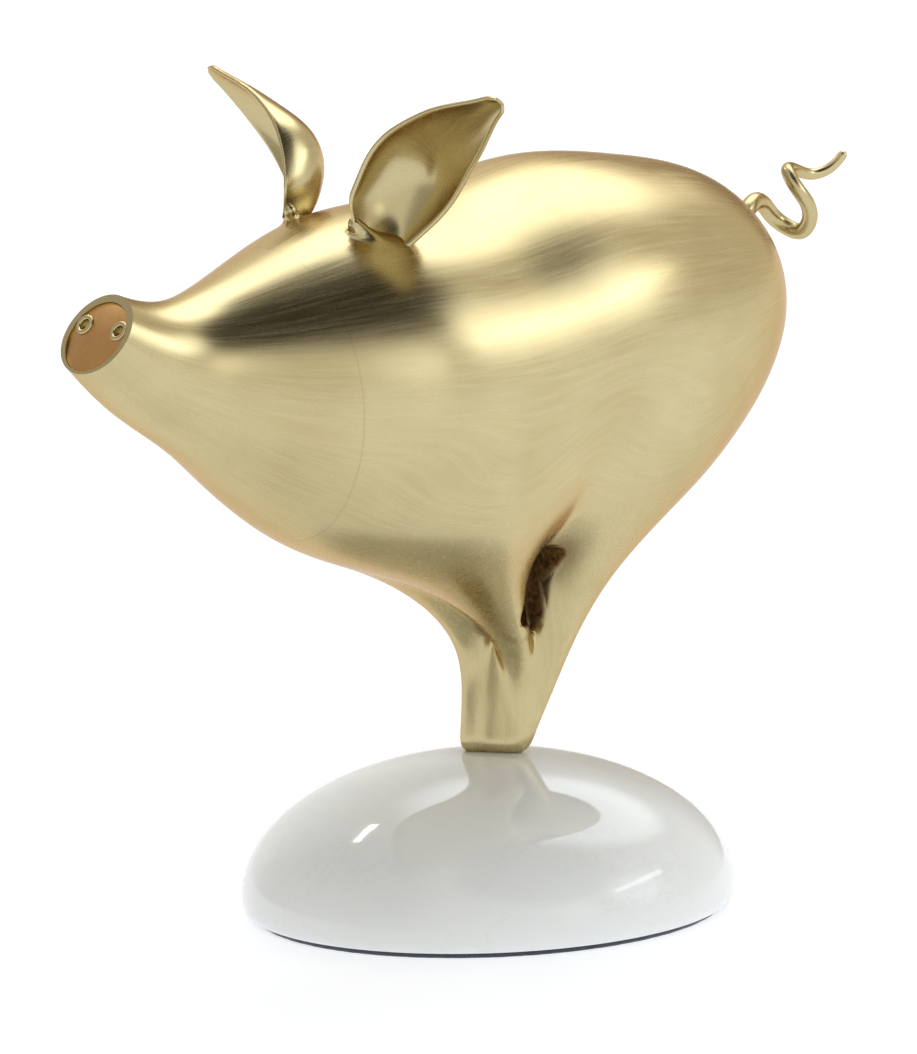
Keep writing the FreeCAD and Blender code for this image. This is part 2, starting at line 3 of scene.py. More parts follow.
import bpy
import numpy as np
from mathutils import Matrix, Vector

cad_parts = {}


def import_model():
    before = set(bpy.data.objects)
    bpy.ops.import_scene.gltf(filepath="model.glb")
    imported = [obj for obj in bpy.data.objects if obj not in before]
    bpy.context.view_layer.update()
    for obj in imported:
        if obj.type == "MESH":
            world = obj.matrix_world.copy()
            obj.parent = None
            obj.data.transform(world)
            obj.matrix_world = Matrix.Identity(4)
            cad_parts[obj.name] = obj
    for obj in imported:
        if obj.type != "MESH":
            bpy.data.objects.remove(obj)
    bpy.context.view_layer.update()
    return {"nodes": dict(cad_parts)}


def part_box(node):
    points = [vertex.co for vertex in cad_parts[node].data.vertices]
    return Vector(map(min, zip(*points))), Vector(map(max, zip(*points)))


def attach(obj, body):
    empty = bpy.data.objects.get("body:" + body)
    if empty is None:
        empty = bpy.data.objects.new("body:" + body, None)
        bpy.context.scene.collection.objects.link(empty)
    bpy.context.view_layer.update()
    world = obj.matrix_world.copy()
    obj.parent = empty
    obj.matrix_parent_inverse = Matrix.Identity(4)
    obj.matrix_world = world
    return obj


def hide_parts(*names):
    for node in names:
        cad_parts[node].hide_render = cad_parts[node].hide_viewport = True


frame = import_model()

import openvdb
from mathutils import Matrix, Vector

# Shapes are in millimetres until a mesh is made. The pig's own frame has its origin at the top
# of the dome, on the dome's axis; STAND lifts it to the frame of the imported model. The dome and
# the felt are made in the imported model's frame from the start. Shaders work in metres.
MM = 0.001
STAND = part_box("marble_dome")[1].z / MM

# ---- the pig's lines ----------------------------------------------------------------------
# trunk and head: station y, height of the section's centre, half height, half height / half width
TRUNK = (
    (-190, 191.0, 16.0, 1.20),
    (-165, 172.5, 22.5, 1.20),
    (-135, 158.5, 30.5, 1.16),
    (-100, 148.5, 49.5, 1.10),
    (-60, 144.5, 64.0, 1.03),
    (-15, 144.0, 66.0, 1.00),
    (30, 149.5, 66.5, 1.00),
    (75, 150.5, 59.5, 1.00),
    (110, 153.0, 45.0, 1.00),
    (135, 154.5, 15.0, 1.00),
)
# legs: height, x of the left leg's centre, y of the centre, radius
FRONT_LEG = (
    (-3, 6.2, 5.6, 5.5),
    (17, 6.4, 7.4, 5.4),
    (37, 8.7, 7.1, 6.7),
    (62, 12.6, -8.3, 12.2),
    (92, 20.5, -30.0, 24.0),
    (127, 23.0, -22.5, 26.0),
    (162, 24.0, -9.0, 20.0),
)
HIND_LEG = (
    (-3, 5.2, 8.0, 4.8),
    (17, 7.0, 16.7, 6.8),
    (37, 9.7, 23.7, 8.9),
    (62, 14.0, 32.0, 13.5),
    (92, 19.5, 43.3, 23.2),
    (127, 25.0, 56.0, 30.3),
    (162, 26.0, 63.5, 24.0),
)
# how far the left front leg stands behind the right one at the foot, and how much thinner it is
STAGGER = ((-3, 3.8, 1.2), (17, 3.4, 1.1), (37, 1.9, 0.7), (62, 0.0, 0.0), (92, 0.0, 0.0))
# metal between the four legs: height, y of its centre, radius
CORE = ((-3, 7.0, 8.0), (17, 9.0, 6.5), (37, 11.0, 4.0), (62, 14.0, -9.0), (92, 16.0, -30.0))
WEB_CENTRE = (0.0, 16.0, 102.0)
WEB_RADIUS = 29.0
LEG_FADE_HEIGHT = 92.0
LEG_FADE = 110.0
LEG_BLEND = 50.0
PAIR_BLEND = 6.6
SIDE_BLEND = 7.0
CORE_BLEND = 5.0
WEB_BLEND = 14.0
LEG_TAPER_FACTOR = 0.85
LEAST_TRUNK_GRADIENT = 25.0
# opening from side to side between the front and hind legs: (y, height) of its two ends
OPENING_ENDS = ((8.0, 53.0), (11.5, 73.0))
OPENING_HALF_WIDTH = 5.0
OPENING_LIP = 2.5  # rounding of its edge
FOOT_BOTTOM = -1.2
FOOT_ROUNDING = 9.0

WALL = 3.2
NECK_JOINT_Y = -92.0
LEG_JOINT_HEIGHT = 86.0
HOLLOW_STATIONS = (
    -146.0, -138.0, -128.0, -114.0, -98.0, -80.0, -60.0, -38.0, -15.0,
    8.0, 30.0, 52.0, 72.0, 90.0, 105.0, 117.0, 126.0, 131.5,
)

# ---- snout --------------------------------------------------------------------------------
SNOUT_CENTRE = (0.0, -175.0, 181.0)
SNOUT_PITCH = math.radians(38.0)
DISC_DIAMETER = 28.6
DISC_THICKNESS = 1.8
DISC_RECESS = 0.6
NOSTRIL_SPACING = 19.0
NOSTRIL_RISE = 4.0
EYELET_FLANGE = 8.0
EYELET_BARREL = 6.0
EYELET_HOLE = 4.2

# ---- ears ---------------------------------------------------------------------------------
# share of the ear's length, half width, half angle of its cup in degrees
EAR_LEAF = (
    (0.00, 4.0, 50.0),
    (0.04, 9.6, 60.0),
    (0.12, 13.4, 72.0),
    (0.24, 15.5, 76.0),
    (0.40, 15.7, 70.0),
    (0.55, 13.3, 56.0),
    (0.70, 10.3, 42.0),
    (0.84, 6.2, 32.0),
    (0.94, 3.6, 27.0),
    (0.98, 2.3, 25.0),
    (1.00, 0.7, 24.0),
)
EAR_BASE = (23.0, -66.0, 202.5)
EAR_FACING = (0.49, -0.83, -0.28)
EAR_TIP = {"left": (81.5, -51.0, 258.0), "right": (-81.5, -51.0, 250.0)}
EAR_THICKNESS = 2.0
EAR_EDGE_BOW = 3.8
EAR_BACK_BOW = 10.0
EAR_BOW_SKEW = 0.75  # below 1 the leaf is bowed most in its lower half
# lump of metal behind the root of an ear
EAR_WELD_BEHIND = 3.0
EAR_WELD_HALF_LENGTH = 7.0
EAR_WELD_RADIUS = 2.6
EAR_WELD_BLEND = 5.0

# ---- tail ---------------------------------------------------------------------------------
TAIL_PATH = (
    (0.0, 122.0, 168.5),
    (0.0, 130.0, 176.5),
    (-1.5, 136.0, 180.5),
    (-4.5, 142.5, 182.0),
    (-7.5, 149.5, 178.5),
    (-8.5, 155.0, 173.0),
    (-5.5, 158.5, 169.5),
    (-1.0, 160.0, 168.5),
    (4.5, 160.0, 173.0),
    (7.5, 156.5, 181.0),
    (6.0, 153.0, 187.0),
    (2.0, 153.0, 191.5),
    (-3.0, 158.0, 192.0),
    (-6.0, 165.0, 189.5),
    (-6.0, 171.0, 187.5),
    (-4.5, 175.5, 188.0),
    (-3.0, 180.0, 190.5),
    (-2.0, 184.0, 194.5),
)
TAIL_ROOT_RADIUS = 3.3
TAIL_TIP_RADIUS = 1.7
TAIL_WELD_RADIUS = 3.4
TAIL_WELD_BLEND = 4.0

# ---- coins, base and fastening --------------------------------------------------------------
SLOT_LENGTH = 36.0
SLOT_WIDTH = 5.0
SLOT_Y = -24.0
STOPPER_TILT = math.radians(45.0)
STOPPER_HOLE_DIAMETER = 34.1
STOPPER_PLUG_LENGTH = 12.0
STOPPER_FLANGE_DIAMETER = 41.0
STOPPER_FLANGE_THICKNESS = 3.5
STOPPER_GRIP_DIAMETER = 14.0
STOPPER_GRIP_HEIGHT = 3.0
STOPPER_HOLLOW_RADIUS = 12.0
STOPPER_RIBS = (-8.5, -5.5, -2.5)  # places along the plug, from the underside of the flange
SPOT_FACE_DIAMETER = 42.2
STUD_DIAMETER = 8.0
STUD_Y = 8.0
STUD_ENGAGEMENT = 22.0
STUD_HOLE_DIAMETER = 9.0
COUNTERBORE_DIAMETER = 34.0
COUNTERBORE_DEPTH = 20.0
DOME_EDGE_HEIGHT = 6.0
DOME_EDGE_INSET = 4.0
DOME_SEGMENTS = 160
FELT_EDGE_INSET = 0.16
FELT_EDGE_WAVES = ((0.10, 37, 1.3), (0.08, 83, 0.0), (0.05, 141, 0.6))  # size, waves, phase

# ---- the skin's mesh ------------------------------------------------------------------------
FIELD_BOX = ((-80.0, -196.0, -5.0), (80.0, 150.0, 226.0))
VOXEL = 1.6
NEWTON_STEPS = 4
LEAST_SQUARED_GRADIENT = 0.05
ON_SKIN = 0.03  # a mesh point nearer to the field's surface than this takes the field's normal
NORMALS_AGREE = 0.8  # unless the face it belongs to is turned further away than this cosine


class Curve:
    """Natural cubic spline through a table's column, straight beyond both ends."""

    def __init__(self, at, values):
        self.at = np.array(at, float)
        self.values = np.array(values, float)
        self.steps = np.diff(self.at)
        count = len(self.at)
        system = np.eye(count)
        right = np.zeros(count)
        for i in range(1, count - 1):
            before, after = self.steps[i - 1], self.steps[i]
            system[i, i - 1 : i + 2] = before, 2 * (before + after), after
            rise_after = (self.values[i + 1] - self.values[i]) / after
            rise_before = (self.values[i] - self.values[i - 1]) / before
            right[i] = 6 * (rise_after - rise_before)
        self.bend = np.linalg.solve(system, right)

    def spans(self, t):
        """The span that holds t, its length, and the weights of its two ends at t."""
        t = np.clip(t, self.at[0], self.at[-1])
        i = np.clip(np.searchsorted(self.at, t) - 1, 0, len(self.steps) - 1)
        h = self.steps[i]
        a = (self.at[i + 1] - t) / h
        return i, h, a, 1 - a

    def slope(self, t):
        i, h, a, b = self.spans(t)
        rise = (self.values[i + 1] - self.values[i]) / h
        bend = (1 - 3 * a * a) * self.bend[i] + (3 * b * b - 1) * self.bend[i + 1]
        return rise + bend * h / 6

    def __call__(self, t):
        i, h, a, b = self.spans(t)
        value = a * self.values[i] + b * self.values[i + 1]
        value = value + ((a**3 - a) * self.bend[i] + (b**3 - b) * self.bend[i + 1]) * h * h / 6
        return value + self.slope(t) * (t - np.clip(t, self.at[0], self.at[-1]))


def curves(table):
    """One Curve for each of the table's columns after the first."""
    at = [row[0] for row in table]
    return [Curve(at, column) for column in list(zip(*table))[1:]]


trunk_centre, trunk_half, trunk_ratio = curves(TRUNK)
trunk_square = Curve([row[0] for row in TRUNK], [row[2] ** 2 for row in TRUNK])
front_x, front_y, front_r = curves(FRONT_LEG)
hind_x, hind_y, hind_r = curves(HIND_LEG)
stagger, thinning = curves(STAGGER)
core_y, core_r = curves(CORE)


def unit(vector):
    vector = np.asarray(vector, float)
    return vector / np.linalg.norm(vector, axis=-1, keepdims=True)


def blend(a, b, width):
    """The lesser of two fields, with the crease between them smoothed over `width`."""
    h = np.maximum(width - np.abs(a - b), 0.0) / width
    return np.minimum(a, b) - h * h * h * width / 6


def trunk_field(x, y, z):
    ratio = trunk_ratio(y)
    rise = z - trunk_centre(y)
    value = (ratio * x) ** 2 + rise**2 - trunk_square(y)
    gx = 2 * ratio * ratio * x
    gy = -trunk_square.slope(y) - 2 * rise * trunk_centre.slope(y)
    gy = gy + 2 * ratio * trunk_ratio.slope(y) * x * x
    gradient = np.sqrt(gx * gx + gy * gy + 4 * rise * rise)
    return value / np.maximum(gradient, LEAST_TRUNK_GRADIENT)


def pole_field(x, y, cx, cy, radius):
    """About the distance from an upright, slowly tapering leg."""
    return (np.hypot(x - cx, y - cy) - radius) * LEG_TAPER_FACTOR


def legs_field(x, y, z):
    below = z < STAGGER[-1][0]
    back, thin = stagger(z) * below, thinning(z) * below
    fx, fy, fr = front_x(z), front_y(z), front_r(z)
    hx, hy, hr = hind_x(z), hind_y(z), hind_r(z)
    left = pole_field(x, y, fx, fy + back, fr - thin)
    right = pole_field(x, y, -fx, fy - back, fr + thin)
    front = blend(left, right, SIDE_BLEND)
    hind = blend(pole_field(x, y, hx, hy, hr), pole_field(x, y, -hx, hy, hr), SIDE_BLEND)
    legs = blend(front, hind, PAIR_BLEND) + np.maximum(z - LEG_FADE_HEIGHT, 0.0) ** 2 / LEG_FADE
    return blend(legs, pole_field(x, y, 0, core_y(z), core_r(z)), CORE_BLEND)


def segment_field(x, y, z, start, end, radius):
    """Distance from a round-ended rod."""
    point = np.stack([x, y, z], axis=-1) - start
    line = np.subtract(end, start)
    share = np.clip(point @ line / (line @ line), 0.0, 1.0)
    return np.linalg.norm(point - share[..., None] * line, axis=-1) - radius


def ear_frame(side):
    """Base point, directions along, across and out of the cup of an ear, and its length."""
    sign = 1 if side == "left" else -1
    base = np.array(EAR_BASE) * (sign, 1, 1)
    reach = np.subtract(EAR_TIP[side], base)
    length = np.linalg.norm(reach)
    along = reach / length
    facing = np.array(EAR_FACING) * (sign, 1, 1)
    facing = unit(facing - along * (facing @ along))
    across = np.cross(along, facing) * sign
    return base, along, across, facing, length


EAR_FRAMES = {side: ear_frame(side) for side in EAR_TIP}


def skin_field(x, y, z):
    """About the distance from the pig's skin, negative inside."""
    body = blend(trunk_field(x, y, z), legs_field(x, y, z), LEG_BLEND)
    wx, wy, wz = WEB_CENTRE
    web = np.sqrt((x - wx) ** 2 + (y - wy) ** 2 + (z - wz) ** 2) - WEB_RADIUS
    body = blend(body, web, WEB_BLEND)
    for base, along, across, facing, _ in EAR_FRAMES.values():
        middle = base - facing * EAR_WELD_BEHIND
        half = across * EAR_WELD_HALF_LENGTH
        weld = segment_field(x, y, z, middle - half, middle + half, EAR_WELD_RADIUS)
        body = blend(body, weld, EAR_WELD_BLEND)
    (low_y, low_z), (high_y, high_z) = OPENING_ENDS
    low, high = (0, low_y, low_z), (0, high_y, high_z)
    opening = segment_field(0 * x, y, z, low, high, OPENING_HALF_WIDTH)
    body = -blend(-body, opening, OPENING_LIP)
    body = -blend(-body, z - FOOT_BOTTOM, FOOT_ROUNDING)
    tail_root = segment_field(x, y, z, TAIL_PATH[0], TAIL_PATH[1], TAIL_WELD_RADIUS)
    return blend(body, tail_root, TAIL_WELD_BLEND)


def field_gradient(field, points, step=0.02):
    gradient = np.empty_like(points)
    for axis in range(3):
        shift = np.zeros(3)
        shift[axis] = step
        ahead = field(*(points + shift).T)
        behind = field(*(points - shift).T)
        gradient[:, axis] = (ahead - behind) / (2 * step)
    return gradient


def field_surface(field, low, high, voxel):
    """Points and quads of the surface where the field is zero, the points exactly on it."""
    xs, ys, zs = (np.arange(low[i], high[i] + voxel, voxel) for i in range(3))
    y, z = np.meshgrid(ys, zs, indexing="ij")
    values = np.stack([field(np.full_like(y, x), y, z) for x in xs]).astype(np.float32)
    grid = openvdb.FloatGrid(float(values.max()))
    grid.copyFromArray(values)
    points, quads = grid.convertToQuads(0.0)
    points = np.array(low) + points.astype(float) * voxel
    for _ in range(NEWTON_STEPS):
        gradient = field_gradient(field, points)
        squared = np.maximum((gradient**2).sum(axis=1), LEAST_SQUARED_GRADIENT)
        move = gradient * (field(*points.T) / squared)[:, None]
        length = np.maximum(np.linalg.norm(move, axis=1, keepdims=True), 1e-9)
        points = points - move * np.minimum(1.0, voxel / length)
    return points, quads.astype(int)


# ---- meshes ---------------------------------------------------------------------------------
def to_model(points):
    """From the pig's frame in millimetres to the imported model's frame in metres."""
    return (np.asarray(points, float) + (0.0, 0.0, STAND)) * MM


def new_object(name, points, faces):
    mesh = bpy.data.meshes.new(name)
    mesh.from_pydata(np.asarray(points).tolist(), [], [list(map(int, face)) for face in faces])
    mesh.validate()
    mesh.update()
    obj = bpy.data.objects.new(name, mesh)
    bpy.context.scene.collection.objects.link(obj)
    return obj


def face_outwards(points, faces):
    """The same faces, turned over if together they face inwards."""
    points = np.asarray(points)
    volume = 0.0
    for sides in {len(face) for face in faces}:
        group = np.array([face for face in faces if len(face) == sides])
        for j in range(1, sides - 1):
            turned_by = np.cross(points[group[:, j]], points[group[:, j + 1]])
            volume += float((points[group[:, 0]] * turned_by).sum())
    return faces if volume > 0 else [list(face)[::-1] for face in faces]


def ring_surface(rings, close_ends=True):
    """Points and faces of a skin over closed rings of points, a flat cap on each end."""
    count = len(rings[0])
    points = np.concatenate(rings)
    faces = []
    for i in range(len(rings) - 1):
        for k in range(count):
            n = (k + 1) % count
            a, b = i * count, (i + 1) * count
            faces.append([a + k, a + n, b + n, b + k])
    if close_ends:
        faces.append(list(range(count))[::-1])
        faces.append([(len(rings) - 1) * count + k for k in range(count)])
    return points, face_outwards(points, faces)


def lathe_rings(profile, segments=96):
    """Rings about the Z axis from (radius, height) pairs; a radius of zero becomes a tiny ring."""
    angles = np.linspace(0, 2 * np.pi, segments, endpoint=False)
    rings = []
    for radius, height in profile:
        radius = max(radius, 1e-3)
        x, y = radius * np.cos(angles), radius * np.sin(angles)
        rings.append(np.stack([x, y, np.full(segments, height)], 1))
    return rings


def placed(points, centre, axis):
    """Points made about the Z axis, turned to another axis and moved to its centre."""
    turn = Vector((0, 0, 1)).rotation_difference(Vector(axis)).to_matrix()
    return points @ np.array(turn).T + np.asarray(centre)


def turned(profile, centre, axis, segments=96):
    """A turned piece: (radius, distance along the axis) pairs from one end to the other."""
    points, faces = ring_surface(lathe_rings(profile, segments))
    return placed(points, centre, axis), faces


def turned_ring(profile, centre, axis, segments=96):
    """A ring: its closed cross-section of (radius, distance along the axis) pairs, turned."""
    rings = lathe_rings(list(profile) + [profile[0]], segments)
    points, faces = ring_surface(rings, close_ends=False)
    last = (len(rings) - 1) * segments
    faces = [[i - last if i >= last else i for i in face] for face in faces]
    return placed(points[:last], centre, axis), faces


def block(low, high):
    xs, ys, zs = zip(low, high)
    points = [(x, y, z) for x in xs for y in ys for z in zs]
    faces = [(0, 1, 3, 2), (4, 6, 7, 5), (0, 4, 5, 1), (2, 3, 7, 6), (0, 2, 6, 4), (1, 5, 7, 3)]
    return np.array(points, float), faces


def rod(start, axis, radius, length, segments=96):
    return turned([(radius, 0.0), (radius, length)], start, axis, segments)


def apply_modifiers(obj):
    evaluated = obj.evaluated_get(bpy.context.evaluated_depsgraph_get())
    mesh = bpy.data.meshes.new_from_object(evaluated)
    old = obj.data
    obj.modifiers.clear()
    obj.data = mesh
    bpy.data.meshes.remove(old)


def combine(obj, operation, points, faces):
    """Cuts obj with, or keeps what it shares with, a closed shape in the model's frame."""
    tool = new_object("tool", points, faces)
    modifier = obj.modifiers.new("shape", "BOOLEAN")
    modifier.operation = operation
    modifier.solver = "MANIFOLD"
    modifier.object = tool
    bpy.context.view_layer.update()
    apply_modifiers(obj)
    bpy.data.objects.remove(tool)


def shade(obj, sharp_angle=35.0, field=None):
    """Smooth shading with sharp edges; where the mesh lies on the field, the field's own normals."""
    mesh = obj.data
    mesh.polygons.foreach_set("use_smooth", np.ones(len(mesh.polygons), bool))
    mesh.set_sharp_from_angle(angle=math.radians(sharp_angle))
    if field is None:
        return
    points = np.empty(len(mesh.vertices) * 3)
    mesh.vertices.foreach_get("co", points)
    points = points.reshape(-1, 3) / MM - (0.0, 0.0, STAND)
    normals = unit(field_gradient(field, points))
    on_skin = np.abs(field(*points.T)) < ON_SKIN
    corners = np.empty(len(mesh.loops), np.int32)
    mesh.loops.foreach_get("vertex_index", corners)
    face_of = np.repeat(np.arange(len(mesh.polygons)), [p.loop_total for p in mesh.polygons])
    face_normals = np.empty(len(mesh.polygons) * 3)
    mesh.polygons.foreach_get("normal", face_normals)
    cosine = (face_normals.reshape(-1, 3)[face_of] * normals[corners]).sum(axis=1)
    custom = normals[corners] * ((cosine > NORMALS_AGREE) & on_skin[corners])[:, None]
    mesh.normals_split_custom_set(custom.tolist())


def finish_piece(obj, body, nodes, material):
    obj.data.materials.clear()
    obj.data.materials.append(material)
    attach(obj, body)
    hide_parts(*nodes)
    return obj


# ---- materials ------------------------------------------------------------------------------
class Nodes:
    """Short ways to add nodes to a node tree."""

    def __init__(self, tree):
        self.tree = tree

    def add(self, kind, inputs=None, **settings):
        node = self.tree.nodes.new(kind)
        for name, value in settings.items():
            setattr(node, name, value)
        for socket, value in (inputs or {}).items():
            self.feed(node.inputs[socket], value)
        return node

    def feed(self, socket, value):
        """Links a node's output to the socket, or sets the socket to a plain value."""
        if isinstance(value, bpy.types.NodeSocket):
            self.tree.links.new(value, socket)
        else:
            socket.default_value = value

    def vector_math(self, operation, a, b):
        return self.add("ShaderNodeVectorMath", {0: a, 1: b}, operation=operation)

    def math(self, operation, a, b=0.0):
        return self.add("ShaderNodeMath", {0: a, 1: b}, operation=operation).outputs[0]

    def remap(self, value, low, high, to_low, to_high, smooth=False):
        inputs = {"Value": value, "From Min": low, "From Max": high, "To Min": to_low, "To Max": to_high}
        kind = "SMOOTHSTEP" if smooth else "LINEAR"
        return self.add("ShaderNodeMapRange", inputs, interpolation_type=kind).outputs["Result"]

    def mix(self, share, a, b):
        inputs = {"Factor": share, "A": a, "B": b}
        return self.add("ShaderNodeMix", inputs, data_type="RGBA").outputs["Result"]


class Shader(Nodes):
    """A material with a Principled shader; its patterns are laid out in the object's metres."""

    def __init__(self, name, **settings):
        self.material = bpy.data.materials.new(name)
        self.material.use_nodes = True
        super().__init__(self.material.node_tree)
        self.principled = self.tree.nodes["Principled BSDF"]
        for socket, value in settings.items():
            self.set(socket, value)
        self.position = self.add("ShaderNodeTexCoord").outputs["Object"]

    def set(self, socket, value):
        self.feed(self.principled.inputs[socket.replace("_", " ")], value)

    def split(self, vector):
        """The x, y and z of a vector."""
        return list(self.add("ShaderNodeSeparateXYZ", {"Vector": vector}).outputs)

    def surface_normal(self):
        return self.add("ShaderNodeNewGeometry").outputs["Normal"]

    def stretched(self, x, y, z, place=None):
        """The place, or else the point being shaded, with each coordinate scaled."""
        return self.vector_math("MULTIPLY", place or self.position, (x, y, z)).outputs[0]

    def noise(self, vector, scale, detail=2.0, roughness=0.5):
        inputs = {"Vector": vector, "Scale": scale, "Detail": detail, "Roughness": roughness}
        return self.add("ShaderNodeTexNoise", inputs).outputs["Fac"]

    def bump(self, height, distance, strength=1.0, normal=None):
        inputs = {"Height": height, "Distance": distance, "Strength": strength}
        if normal is not None:
            inputs["Normal"] = normal
        return self.add("ShaderNodeBump", inputs).outputs["Normal"]


def brush_lines(shader, around_trunk, on_legs, trunk, legs):
    """Noise drawn out along the trunk and down the legs, from (scale, stretch) pairs."""
    scale, stretch = trunk
    trunk_lines = shader.noise(shader.stretched(1.0, stretch, 1.0, around_trunk), scale, 3.0, 0.6)
    scale, stretch = legs
    leg_lines = shader.noise(shader.stretched(1.0, 1.0, stretch), scale, 3.0, 0.6)
    return shader.mix(on_legs, trunk_lines, leg_lines)


def from_opening(shader, along, height):
    """Metres from the opening's middle line as seen from the side, and above its middle point."""
    (low_y, low_z), (high_y, high_z) = OPENING_ENDS
    lean = (high_y - low_y) / (high_z - low_z)
    half_length = 9.5 * MM
    rise = shader.math("SUBTRACT", height, ((low_z + high_z) / 2 + STAND) * MM)
    off = shader.math("SUBTRACT", along, (low_y + high_y) / 2 * MM)
    off = shader.math("SUBTRACT", off, shader.math("MULTIPLY", rise, lean))
    beyond = shader.math("SUBTRACT", shader.math("ABSOLUTE", rise), half_length)
    beyond = shader.math("MAXIMUM", beyond, 0.0)
    off_squared = shader.math("MULTIPLY", off, off)
    beyond_squared = shader.math("MULTIPLY", beyond, beyond)
    distance = shader.math("SQRT", shader.math("ADD", off_squared, beyond_squared))
    return distance, rise


def inside_opening(shader, across, distance):
    """1 on the walls of the opening and on the skin that faces it from between the legs, where painted
    shade goes, else 0.
    """
    walls = shader.remap(distance, 0.0052, 0.0062, 1.0, 0.0, smooth=True)
    between = shader.remap(shader.math("ABSOLUTE", across), 0.015, 0.018, 1.0, 0.0, smooth=True)
    near = shader.remap(distance, 0.009, 0.012, 1.0, 0.0, smooth=True)
    return shader.math("MAXIMUM", walls, shader.math("MULTIPLY", between, near))


def brass_material(name="brushed brass", tone=1.0):
    """Satin brass, brushed along the trunk and down the legs, with a rough cast skin and painted shade
    in the opening.
    """
    shader = Shader(name, Metallic=1.0, Anisotropic=0.4, Specular_Tint=(0.84, 0.66, 0.52, 1.0))
    light = (0.58 * tone, 0.50 * tone, 0.28 * tone, 1.0)
    deep = (0.50 * tone, 0.415 * tone, 0.215 * tone, 1.0)
    pale_line, dark_line = (0.66, 0.59, 0.37, 1.0), (0.40, 0.32, 0.155, 1.0)
    # the second of these is the colour of the painted shade around and above the opening
    seam_brown, recess_shade_brown = (0.20, 0.14, 0.07, 1.0), (0.30, 0.20, 0.105, 1.0)
    # the dark end of the cast skin is near black: painted shade inside the opening
    cast_skin_shade_dark, cast_light = (0.10, 0.050, 0.018, 1.0), (0.42, 0.25, 0.10, 1.0)
    wrap_radius = 0.06

    across, along, height = shader.split(shader.position)
    on_legs = shader.remap(height, 0.135, 0.165, 1.0, 0.0, smooth=True)
    facing_x, _, facing_z = shader.split(shader.surface_normal())
    around = shader.math("MULTIPLY", shader.math("ARCTAN2", facing_x, facing_z), wrap_radius)
    around_trunk = shader.add("ShaderNodeCombineXYZ", {"X": around, "Y": along}).outputs["Vector"]
    fine = brush_lines(shader, around_trunk, on_legs, (3000.0, 0.02), (2400.0, 0.02))
    bands = brush_lines(shader, around_trunk, on_legs, (620.0, 0.05), (480.0, 0.06))
    broad = shader.noise(shader.position, 16.0, 3.0, 0.55)
    colour = shader.mix(shader.remap(broad, 0.35, 0.65, 0.0, 1.0), deep, light)
    colour = shader.mix(shader.remap(bands, 0.35, 0.7, 0.0, 0.35), colour, pale_line)
    colour = shader.mix(shader.remap(fine, 0.45, 0.8, 0.0, 0.16), colour, dark_line)

    from_seam = shader.math("ABSOLUTE", shader.math("SUBTRACT", along, NECK_JOINT_Y * MM))
    seam = shader.remap(from_seam, 0.00008, 0.0005, 0.30, 0.0, smooth=True)
    colour = shader.mix(shader.math("MULTIPLY", seam, broad), colour, seam_brown)

    distance, rise = from_opening(shader, along, height)
    inside = inside_opening(shader, across, distance)
    # painted shade: the skin around and above the opening is darkened towards brown
    recess_shade = shader.remap(distance, 0.0058, 0.013, 0.55, 0.0, smooth=True)
    upper = shader.remap(rise, -0.006, 0.012, 0.0, 1.0, smooth=True)
    colour = shader.mix(shader.math("MULTIPLY", recess_shade, upper), colour, recess_shade_brown)
    # rough cast skin in the opening and between the legs, darkened with painted shade
    grain = shader.noise(shader.position, 420.0, 5.0, 0.7)
    cast_skin_and_shade = shader.mix(shader.remap(grain, 0.4, 0.72, 0.0, 1.0), cast_skin_shade_dark, cast_light)
    shader.set("Base Color", shader.mix(inside, colour, cast_skin_and_shade))

    satin = shader.remap(bands, 0.3, 0.7, 0.22, 0.30)
    shader.set("Roughness", shader.math("ADD", satin, shader.math("MULTIPLY", inside, 0.35)))
    normal = shader.bump(shader.noise(shader.position, 48.0, 2.0, 0.4), 0.00010, 0.6)
    normal = shader.bump(shader.math("MULTIPLY", inside, grain), 0.0008, 1.0, normal)
    shader.set("Normal", shader.bump(fine, 0.0000035, 0.6, normal))
    tangent = shader.add("ShaderNodeTangent", direction_type="RADIAL", axis="Y")
    shader.set("Tangent", tangent.outputs["Tangent"])
    return shader.material


def copper_material():
    shader = Shader("brushed copper", Metallic=1.0)
    deep, light, pale_line = (0.50, 0.26, 0.09, 1.0), (0.64, 0.37, 0.14, 1.0), (0.76, 0.49, 0.22, 1.0)
    streaks = shader.noise(shader.stretched(1.0, 0.06, 0.06), 2600.0, 3.0, 0.6)
    colour = shader.mix(shader.noise(shader.position, 90.0), deep, light)
    shader.set("Base Color", shader.mix(shader.remap(streaks, 0.3, 0.7, 0.0, 0.3), colour, pale_line))
    shader.set("Roughness", shader.remap(streaks, 0.25, 0.75, 0.27, 0.40))
    shader.set("Normal", shader.bump(streaks, 0.000008, 0.5))
    return shader.material


